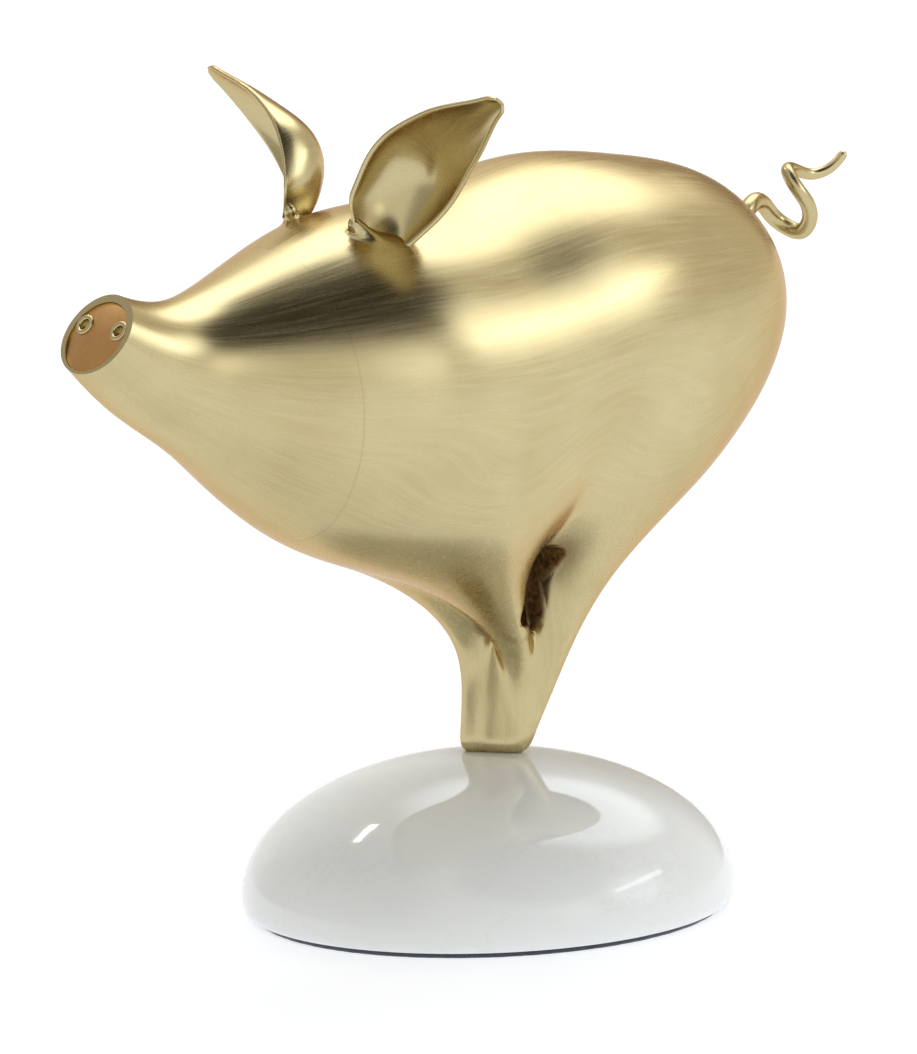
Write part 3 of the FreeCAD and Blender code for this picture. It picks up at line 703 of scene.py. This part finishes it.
def marble_material():
    """Polished white marble with soft clouds, faint veins and small grey specks."""
    shader = Shader(
        "polished marble",
        Roughness=0.07,
        IOR=1.5,
        Subsurface_Weight=0.25,
        Subsurface_Radius=(0.006, 0.005, 0.004),
        Subsurface_Scale=1.0,
        Coat_Weight=0.15,
        Coat_Roughness=0.03,
    )
    dull, bright = (0.775, 0.80, 0.80, 1.0), (0.83, 0.855, 0.855, 1.0)
    vein_grey, speck_grey = (0.60, 0.60, 0.60, 1.0), (0.66, 0.66, 0.66, 1.0)
    drift = shader.math("MULTIPLY", shader.noise(shader.position, 9.0, 5.0, 0.6), 0.11)
    drifted = shader.vector_math("ADD", shader.position, drift).outputs[0]
    veins = shader.noise(drifted, 14.0, 8.0, 0.62)
    from_vein = shader.math("ABSOLUTE", shader.math("SUBTRACT", veins, 0.5))
    vein = shader.remap(from_vein, 0.0, 0.010, 0.14, 0.0, smooth=True)
    clouds = shader.noise(shader.position, 22.0, 4.0, 0.6)
    colour = shader.mix(vein, shader.mix(clouds, dull, bright), vein_grey)
    specks = shader.remap(shader.noise(shader.position, 420.0), 0.74, 0.80, 0.0, 0.30)
    shader.set("Base Color", shader.mix(specks, colour, speck_grey))
    return shader.material


def felt_material():
    shader = Shader("dark felt", Roughness=0.95, Sheen_Weight=0.4)
    dark, light = (0.022, 0.026, 0.040, 1.0), (0.060, 0.068, 0.095, 1.0)
    fibre_grey = (0.13, 0.14, 0.17, 1.0)
    fibres = shader.noise(shader.position, 2200.0, 4.0, 0.7)
    colour = shader.mix(shader.noise(shader.position, 260.0, 3.0, 0.6), dark, light)
    shader.set("Base Color", shader.mix(shader.remap(fibres, 0.45, 0.75, 0.0, 0.6), colour, fibre_grey))
    shader.set("Normal", shader.bump(fibres, 0.0002, 0.8))
    return shader.material


def rubber_material():
    shader = Shader("black rubber")
    black, dusty = (0.014, 0.014, 0.015, 1.0), (0.032, 0.032, 0.034, 1.0)
    grain = shader.noise(shader.position, 1500.0, 3.0, 0.6)
    bloom = shader.noise(shader.position, 60.0, 3.0, 0.6)
    shader.set("Base Color", shader.mix(bloom, black, dusty))
    shader.set("Roughness", shader.remap(bloom, 0.3, 0.7, 0.46, 0.64))
    shader.set("Normal", shader.bump(grain, 0.00005, 0.5))
    return shader.material


def zinc_material():
    shader = Shader("zinc plated steel", Metallic=1.0)
    blue_grey, warm_grey = (0.56, 0.57, 0.60, 1.0), (0.68, 0.68, 0.66, 1.0)
    patches = shader.noise(shader.position, 160.0, 3.0, 0.6)
    shader.set("Base Color", shader.mix(patches, blue_grey, warm_grey))
    shader.set("Roughness", shader.remap(patches, 0.3, 0.7, 0.22, 0.40))
    return shader.material


BRASS = brass_material()
EYELET_BRASS = brass_material("polished brass", 1.05)
COPPER = copper_material()
MARBLE = marble_material()
FELT = felt_material()
RUBBER = rubber_material()
ZINC = zinc_material()


# ---- base -----------------------------------------------------------------------------------
DOME_LOW, DOME_HIGH = (np.array(corner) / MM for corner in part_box("marble_dome"))


def dome_profile(steps=64):
    """(radius, height) pairs of the dome, from the middle of its underside to its top."""
    radius = (DOME_HIGH[0] - DOME_LOW[0]) / 2
    bottom, top = DOME_LOW[2], DOME_HIGH[2]
    edge = bottom + DOME_EDGE_HEIGHT
    inner = radius - DOME_EDGE_INSET
    profile = [(0.0, bottom)]
    for t in np.linspace(0, 1, 12):  # rounded lower edge
        r = inner * (1 - t) ** 2 + 2 * radius * t * (1 - t) + radius * t * t
        z = bottom * (1 - t) ** 2 + 2 * bottom * t * (1 - t) + edge * t * t
        profile.append((r, z))
    for angle in np.linspace(0, math.pi / 2, steps)[1:]:
        profile.append((radius * math.cos(angle), edge + (top - edge) * math.sin(angle)))
    return profile


def solid_dome():
    points, faces = turned(dome_profile(), (0, 0, 0), (0, 0, 1), DOME_SEGMENTS)
    return points * MM, faces


def marble_dome():
    dome = new_object("dome", *solid_dome())
    below = 5.0
    start = (0, STUD_Y, -below)
    counterbore_length = below + DOME_LOW[2] + COUNTERBORE_DEPTH
    bore = rod(start, (0, 0, 1), STUD_HOLE_DIAMETER / 2, 2 * STAND, 48)
    counterbore = rod(start, (0, 0, 1), COUNTERBORE_DIAMETER / 2, counterbore_length, 64)
    for tool_points, tool_faces in (bore, counterbore):
        combine(dome, "DIFFERENCE", tool_points * MM, tool_faces)
    shade(dome, 30.0)
    finish_piece(dome, "bank", ["marble_dome"], MARBLE)


def felt_pad():
    low, high = (np.array(corner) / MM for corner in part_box("felt_pad"))
    radius = (high[0] - low[0]) / 2
    thick = high[2] - low[2]
    soft, softer = radius - 0.12, radius - 0.5
    profile = [(0.0, 0.0), (softer, 0.0), (soft, 0.15 * thick), (radius, 0.5 * thick)]
    profile += [(soft, 0.85 * thick), (softer, thick), (0.0, thick)]
    rings = []
    for ring in lathe_rings(profile, 240):
        angle = np.arctan2(ring[:, 1], ring[:, 0])
        fuzz = sum(size * np.sin(waves * angle + phase) for size, waves, phase in FELT_EDGE_WAVES)
        ring[:, :2] *= (1 - (FELT_EDGE_INSET - fuzz) / radius)[:, None]
        rings.append(ring)
    points, faces = ring_surface(rings)
    felt = new_object("felt", points * MM, faces)
    shade(felt, 60.0)
    finish_piece(felt, "bank", ["felt_pad"], FELT)


# ---- castings -------------------------------------------------------------------------------
def snout_axis():
    return np.array((0.0, -math.cos(SNOUT_PITCH), math.sin(SNOUT_PITCH)))


def snout_point(out, x=0.0, rise=0.0):
    """A point so far out of the snout's flat end, to the left of its centre and above it."""
    up = np.array((0.0, math.sin(SNOUT_PITCH), math.cos(SNOUT_PITCH)))
    return np.array(SNOUT_CENTRE) + snout_axis() * out + np.array((x, 0.0, 0.0)) + up * rise


def hollow(segments=72):
    """The space inside: the trunk's sections moved inwards, square to the skin, by the wall."""
    angles = np.linspace(0, 2 * np.pi, segments, endpoint=False)
    rings = []
    for y in HOLLOW_STATIONS:
        half = math.sqrt(trunk_square(y))
        slope = trunk_square.slope(y) / (2 * half)
        length = math.hypot(1, slope)
        x = (half / trunk_ratio(y) - WALL / length) * np.cos(angles)
        z = trunk_centre(y) + (half - WALL / length) * np.sin(angles)
        rings.append(np.stack([x, np.full(segments, y + WALL * slope / length), z], 1))
    return ring_surface(rings)


STOPPER_AXIS = np.array((0.0, math.cos(STOPPER_TILT), -math.sin(STOPPER_TILT)))


def stopper_seat():
    """Where the stopper's axis meets the underside of its flange, worked out from its CAD box."""
    low, high = (np.array(corner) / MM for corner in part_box("coin_stopper"))
    thick, radius = STOPPER_FLANGE_THICKNESS, STOPPER_FLANGE_DIAMETER / 2
    cosine, sine = math.cos(STOPPER_TILT), math.sin(STOPPER_TILT)
    reach = thick * cosine + radius * sine
    drop = thick * sine + radius * cosine
    return np.array((0.0, high[1] - reach, low[2] + drop - STAND))


def casting_cuts():
    """Closed shapes in the pig's frame that are taken out of its solid skin."""
    slot_middle = np.array((0.0, SLOT_Y, trunk_centre(SLOT_Y) + trunk_half(SLOT_Y)))
    through = 20.0  # far enough to come out of the skin
    slot_half = np.array((SLOT_WIDTH / 2, SLOT_LENGTH / 2, through))
    disc_seat = snout_point(-DISC_RECESS - DISC_THICKNESS)
    stud_start = -30.0
    seat = stopper_seat()
    bore_depth, past_seat = 22.0, 1.0
    bore_start = seat - STOPPER_AXIS * bore_depth
    return [
        hollow(),
        block(slot_middle - slot_half, slot_middle + slot_half),
        rod(disc_seat, snout_axis(), DISC_DIAMETER / 2, through),
        rod((0, STUD_Y, stud_start), (0, 0, 1), STUD_DIAMETER / 2, STUD_ENGAGEMENT - stud_start, 48),
        rod(snout_point(0.0), snout_axis(), 3 * through, 3 * through),  # all in front of the snout
        rod(seat, STOPPER_AXIS, SPOT_FACE_DIAMETER / 2, 2 * through, 160),
        rod(bore_start, STOPPER_AXIS, STOPPER_HOLE_DIAMETER / 2, bore_depth + past_seat, 160),
    ]


def castings():
    """The hollow pig, cut up where its castings meet."""
    points, quads = field_surface(skin_field, *FIELD_BOX, VOXEL)
    pig = new_object("pig", to_model(points), face_outwards(to_model(points), quads.tolist()))
    for tool_points, tool_faces in casting_cuts():
        combine(pig, "DIFFERENCE", to_model(tool_points), tool_faces)
    combine(pig, "DIFFERENCE", *solid_dome())
    far = 500.0
    neck, joint = NECK_JOINT_Y, LEG_JOINT_HEIGHT
    regions = {
        "face_casting": ((-far, -far, -far), (far, neck, far)),
        "leg_casting": ((-far, neck, -far), (far, far, joint)),
        "left_body_shell": ((0.0, neck, joint), (far, far, far)),
        "right_body_shell": ((-far, neck, joint), (0.0, far, far)),
    }
    for node, (corner, opposite) in regions.items():
        piece = bpy.data.objects.new("skin_" + node, pig.data.copy())
        bpy.context.scene.collection.objects.link(piece)
        region_points, region_faces = block(corner, opposite)
        combine(piece, "INTERSECT", to_model(region_points), region_faces)
        shade(piece, 35.0, skin_field)
        finish_piece(piece, "bank", [node], BRASS)
    bpy.data.objects.remove(pig)


def coin_stopper():
    """The rubber plug: hollow inside, with a ribbed barrel, a soft-edged flange and a grip."""
    inner, outer = STOPPER_HOLLOW_RADIUS, STOPPER_HOLE_DIAMETER / 2 - 0.05
    flange, thick = STOPPER_FLANGE_DIAMETER / 2, STOPPER_FLANGE_THICKNESS
    grip, top = STOPPER_GRIP_DIAMETER / 2, STOPPER_FLANGE_THICKNESS + STOPPER_GRIP_HEIGHT
    length = STOPPER_PLUG_LENGTH
    # the inside, then round the plug's open end
    profile = [(0.0, 0.6), (inner - 0.8, 0.6), (inner, -0.2), (inner, 0.5 - length)]
    profile += [(inner + 0.5, -length), (outer - 1.8, -length), (outer - 1.0, 0.8 - length)]
    # the ribs, higher towards the flange
    for middle in STOPPER_RIBS:
        crest = outer + middle / length
        foot = crest - 0.35
        profile += [(foot, middle - 0.9), (crest, middle - 0.3)]
        profile += [(crest, middle + 0.3), (foot, middle + 0.9)]
    # the flange and its round rim
    profile += [(outer - 0.2, -0.6), (outer - 0.1, -0.1), (outer + 0.6, 0.0)]
    for turn in np.linspace(-math.pi / 2, math.pi / 2, 9):
        profile.append((flange - 1.0 + math.cos(turn), thick / 2 * (1 + math.sin(turn))))
    # the shallow dish in its outer face, and the grip in the middle
    profile += [(flange - 2.4, thick), (flange - 3.2, thick - 0.5), (grip + 2.2, thick - 0.5)]
    profile += [(grip + 0.8, thick - 0.2), (grip + 0.1, thick + 0.7), (grip - 0.1, top - 0.9)]
    profile += [(grip - 0.4, top - 0.3), (grip - 1.1, top), (0.0, top)]
    points, faces = turned(profile, stopper_seat(), STOPPER_AXIS, 128)
    plug = new_object("stopper_plug", to_model(points), faces)
    shade(plug, 32.0)
    finish_piece(plug, "stopper", ["coin_stopper"], RUBBER)


# ---- snout's disc ---------------------------------------------------------------------------
def snout_disc():
    """A disc with a softened edge and two holes for the eyelets."""
    back = -DISC_RECESS - DISC_THICKNESS
    radius = DISC_DIAMETER / 2
    top = DISC_THICKNESS
    profile = [(0.0, 0.0), (radius - 0.05, 0.0), (radius - 0.05, top - 0.3)]
    profile += [(radius - 0.12, top - 0.1), (radius - 0.35, top), (0.0, top)]
    points, faces = turned(profile, snout_point(back), snout_axis())
    disc = new_object("disc", to_model(points), faces)
    for side in (-1, 1):
        start = snout_point(back - 1.0, side * NOSTRIL_SPACING / 2, NOSTRIL_RISE)
        tool_points, tool_faces = rod(start, snout_axis(), EYELET_BARREL / 2, 6.0, 48)
        combine(disc, "DIFFERENCE", to_model(tool_points), tool_faces)
    shade(disc, 25.0)
    finish_piece(disc, "bank", ["snout_disc"], COPPER)


def nostril_eyelet(side, name):
    """A short tube through the disc with a flange rolled over its outer end."""
    flange, barrel, hole = EYELET_FLANGE / 2, EYELET_BARREL / 2, EYELET_HOLE / 2
    clear = 0.02
    profile = [(hole + 0.05, -DISC_THICKNESS), (barrel - clear, -DISC_THICKNESS)]
    profile += [(barrel - clear, clear), (flange - 0.15, clear)]
    middle = (flange + hole) / 2
    half = (flange - hole) / 2
    for angle in np.linspace(0, math.pi, 13):
        profile.append((middle + half * math.cos(angle), 0.15 + 0.65 * math.sin(angle)))
    centre = snout_point(-DISC_RECESS, side * NOSTRIL_SPACING / 2, NOSTRIL_RISE)
    points, faces = turned_ring(profile, centre, snout_axis(), 64)
    eyelet = new_object(name + "_ring", to_model(points), faces)
    shade(eyelet, 40.0)
    finish_piece(eyelet, "bank", [name], EYELET_BRASS)


# ---- ears and tail --------------------------------------------------------------------------
def ear_section(radius, angle, steps=36):
    """A strip of sheet bent to an arc, with rounded rims, as (sideways, backwards) pairs."""
    half = EAR_THICKNESS / 2
    tilts = np.linspace(math.pi / 2, -math.pi / 2, 7)[1:-1]
    outline = [(radius + 2 * half, turn, 0.0) for turn in np.linspace(-angle, angle, steps)]
    for tilt in tilts:
        outline.append((radius + half + half * math.sin(tilt), angle, half * math.cos(tilt)))
    outline += [(radius, turn, 0.0) for turn in np.linspace(angle, -angle, steps)]
    for tilt in -tilts:
        outline.append((radius + half + half * math.sin(tilt), -angle, -half * math.cos(tilt)))
    section = []
    for r, turn, out in outline:
        sideways = r * math.sin(turn) + out * math.cos(turn)
        backwards = r * math.cos(turn) - out * math.sin(turn) - radius * math.cos(angle)
        section.append((sideways, backwards))
    return section


def ear(side, rings_along=72):
    """A leaf-shaped cup of sheet metal with a rounded rim."""
    base, along, across, facing, length = EAR_FRAMES[side]
    half_width, cup = curves(EAR_LEAF)
    rings = []
    for share in np.linspace(0, 1, rings_along):
        middle = base + along * (share * length)
        middle = middle - across * (EAR_EDGE_BOW * math.sin(math.pi * share))
        middle = middle - facing * (EAR_BACK_BOW * math.sin(math.pi * share**EAR_BOW_SKEW))
        angle = math.radians(cup(share))
        section = ear_section(half_width(share) / math.sin(angle), angle)
        rings.append(np.array([middle + across * s - facing * b for s, b in section]))
    points, faces = ring_surface(rings)
    leaf = new_object(side + "_ear_leaf", to_model(points), faces)
    shade(leaf, 50.0)
    finish_piece(leaf, "bank", [side + "_ear"], BRASS)


def tail(rings_along=260, around=20):
    """A tapering rod along the tail's path, with a rounded tip."""
    path = np.array(TAIL_PATH)
    lengths = np.concatenate([[0], np.cumsum(np.linalg.norm(np.diff(path, axis=0), axis=1))])
    lines = [Curve(lengths, path[:, i]) for i in range(3)]
    angles = np.linspace(0, 2 * np.pi, around, endpoint=False)
    rings = []
    side = np.array((1.0, 0.0, 0.0))
    for t in np.linspace(0, lengths[-1], rings_along):
        share = t / lengths[-1]
        centre = np.array([line(t) for line in lines])
        heading = unit([line.slope(t) for line in lines])
        side = unit(side - heading * (side @ heading))
        other = np.cross(heading, side)
        radius = TAIL_ROOT_RADIUS + (TAIL_TIP_RADIUS - TAIL_ROOT_RADIUS) * share**2
        left = (lengths[-1] - t) / TAIL_TIP_RADIUS
        if left < 1:
            radius *= math.sqrt(max(1 - (1 - left) ** 2, 0.02))
        ring = np.outer(np.cos(angles), side) + np.outer(np.sin(angles), other)
        rings.append(centre + radius * ring)
    points, faces = ring_surface(rings)
    curl = new_object("tail_curl", to_model(points), faces)
    shade(curl, 60.0)
    finish_piece(curl, "bank", ["tail"], BRASS)


marble_dome()
felt_pad()
castings()
coin_stopper()
snout_disc()
nostril_eyelet(1, "left_nostril_eyelet")
nostril_eyelet(-1, "right_nostril_eyelet")
ear("left")
ear("right")
tail()
for node in ("mounting_stud", "flat_washer", "spring_washer", "hex_nut"):
    for material_slot in frame["nodes"][node].material_slots:
        material_slot.material = ZINC


# ---- stage, light and camera ------------------------------------------------------------------
# Angles are degrees. The camera's aim and the height of the frame are millimetres in the packed
# model's frame; the other lengths here are metres.
CAMERA_AZIMUTH = 50.0
CAMERA_ELEVATION = 11.5
CAMERA_ROLL = 2.0
CAMERA_DISTANCE = 12.0
CAMERA_CLIP_END = 40.0
CAMERA_AIM = (-25.3, 12.9, 136.2)
SENSOR_WIDTH = 36.0
FRAME_HEIGHT = 383.3  # seen from top to bottom of the picture at the distance of the aim
FLOOR_REACH = 12.0
LIGHT_AIM = (0.0, 0.0, 0.18)
LIGHT_DISTANCE = 1.8


def stage():
    reach = FLOOR_REACH
    corners = [(-reach, -reach, 0), (reach, -reach, 0), (reach, reach, 0), (-reach, reach, 0)]
    floor = new_object("floor", corners, [(0, 1, 2, 3)])
    shader = Shader("pale floor", Roughness=0.9, Emission_Color=(0.94, 0.96, 1.0, 1.0))
    shader.set("Emission Strength", 0.64)
    mottle = shader.noise(shader.position, 3.0)
    shader.set("Base Color", shader.mix(mottle, (0.50, 0.50, 0.50, 1.0), (0.52, 0.52, 0.52, 1.0)))
    floor.data.materials.append(shader.material)


def studio_direction(azimuth, elevation):
    """A unit vector; azimuth 0 points from the object to the camera, positive to its right."""
    azimuth, elevation = math.radians(azimuth + CAMERA_AZIMUTH), math.radians(elevation)
    flat = math.cos(elevation)
    return (math.sin(azimuth) * flat, -math.cos(azimuth) * flat, math.sin(elevation))


# soft patches of the studio: azimuth, elevation, angle across at full strength, angle across at
# none, all in degrees, and the brightness there
PATCHES = (
    (-85.0, 12.0, 70.0, 130.0, (0.50, 0.47, 0.43)),
    (120.0, 35.0, 30.0, 90.0, (0.74, 0.69, 0.60)),
    (160.0, 54.0, 36.0, 58.0, (2.8, 2.9, 3.0)),
    (165.0, 6.0, 12.0, 44.0, (0.40, 0.32, 0.25)),
    (40.0, 60.0, 46.0, 68.0, (0.028, 0.020, 0.015)),
    (160.0, 80.0, 6.0, 24.0, (0.06, 0.045, 0.03)),
    (80.0, 26.0, 14.0, 38.0, (2.1, 2.15, 2.2)),
    (42.0, 16.0, 8.0, 28.0, (1.6, 1.57, 1.50)),
)
SURROUND = (0.95, 0.935, 0.90)


def world():
    """A plain surround with the soft patches laid over it one after another."""
    scene_world = bpy.data.worlds.new("studio")
    bpy.context.scene.world = scene_world
    scene_world.use_nodes = True
    nodes = Nodes(scene_world.node_tree)
    direction = nodes.add("ShaderNodeTexCoord").outputs["Generated"]
    colour = (*SURROUND, 1.0)
    for azimuth, elevation, inner, outer, brightness in PATCHES:
        centre = studio_direction(azimuth, elevation)
        cosine = nodes.vector_math("DOT_PRODUCT", direction, centre).outputs["Value"]
        edge, full = (math.cos(math.radians(across / 2)) for across in (outer, inner))
        share = nodes.remap(cosine, edge, full, 0.0, 1.0, smooth=True)
        colour = nodes.mix(share, colour, (*brightness, 1.0))
    nodes.feed(nodes.tree.nodes["Background"].inputs["Color"], colour)


def softbox(name, direction, size, power):
    light = bpy.data.lights.new(name, "AREA")
    light.shape = "RECTANGLE"
    light.size, light.size_y = size
    light.energy = power
    lamp = bpy.data.objects.new(name, light)
    bpy.context.scene.collection.objects.link(lamp)
    direction = Vector(direction).normalized()
    lamp.location = Vector(LIGHT_AIM) + direction * LIGHT_DISTANCE
    lamp.rotation_euler = direction.to_track_quat("Z", "Y").to_euler()


def camera():
    """A long lens aimed at the object; the picture's height spans the sensor's width."""
    back = Vector(studio_direction(0.0, CAMERA_ELEVATION))
    azimuth, roll = math.radians(CAMERA_AZIMUTH), math.radians(CAMERA_ROLL)
    level = Vector((math.cos(azimuth), math.sin(azimuth), 0.0))
    upright = back.cross(level)
    right = level * math.cos(roll) - upright * math.sin(roll)
    up = level * math.sin(roll) + upright * math.cos(roll)
    data = bpy.data.cameras.new("camera")
    data.sensor_width = SENSOR_WIDTH
    data.lens = SENSOR_WIDTH * CAMERA_DISTANCE / (FRAME_HEIGHT * MM)
    data.clip_end = CAMERA_CLIP_END
    obj = bpy.data.objects.new("camera", data)
    place = Vector(CAMERA_AIM) * MM + back * CAMERA_DISTANCE
    turn = Matrix((right, up, back)).transposed().to_4x4()
    obj.matrix_world = Matrix.Translation(place) @ turn
    bpy.context.scene.collection.objects.link(obj)
    bpy.context.scene.camera = obj


stage()
world()
softbox("side softbox", studio_direction(84.0, 26.0), (1.0, 0.12), 1.2)
softbox("window", studio_direction(-137.0, 47.0), (0.36, 0.07), 1.4)
camera()
bpy.context.scene.view_settings.view_transform = "Standard"
